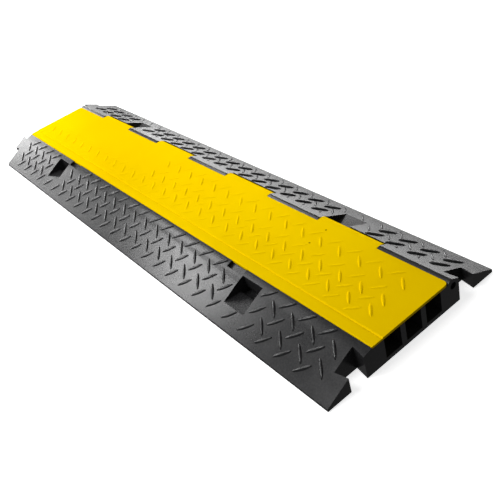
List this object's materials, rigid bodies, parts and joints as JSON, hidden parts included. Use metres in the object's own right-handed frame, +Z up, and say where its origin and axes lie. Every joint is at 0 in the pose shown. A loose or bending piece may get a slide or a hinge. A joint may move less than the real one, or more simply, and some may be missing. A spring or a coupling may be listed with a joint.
{
  "type": "floor cord cover",
  "caption": "Low rubber ramp that lies on a floor over cables, with open cable channels under a long hinged lid, tread bars, grip pockets and end connectors.",
  "frame": {"origin": "on the floor, under the middle of the cover's length and width", "axes": "+X along the cover, from the end with tongues to the end with notches; +Y across, towards the lid's hinge; +Z up"},
  "size_m": [1.016, 0.28, 0.0408],
  "materials": {
    "body_rubber": "satin moulded black rubber",
    "lid_yellow": "satin moulded yellow plastic with raised tread bars",
    "rod_steel": "plain drawn rod, dull"
  },
  "bodies": {
    "cover_body": {"ramp_base": "body_rubber", "hinge_rod": "rod_steel"},
    "lid": {"hinged_lid": "lid_yellow"}
  },
  "joints": [
    {"name": "lid_hinge", "type": "hinge", "parent": "cover_body", "child": "lid", "pos_m": [0.008, 0.069, 0.0295], "axis": [-1, 0, 0], "range_deg": [0, 95]}
  ]
}
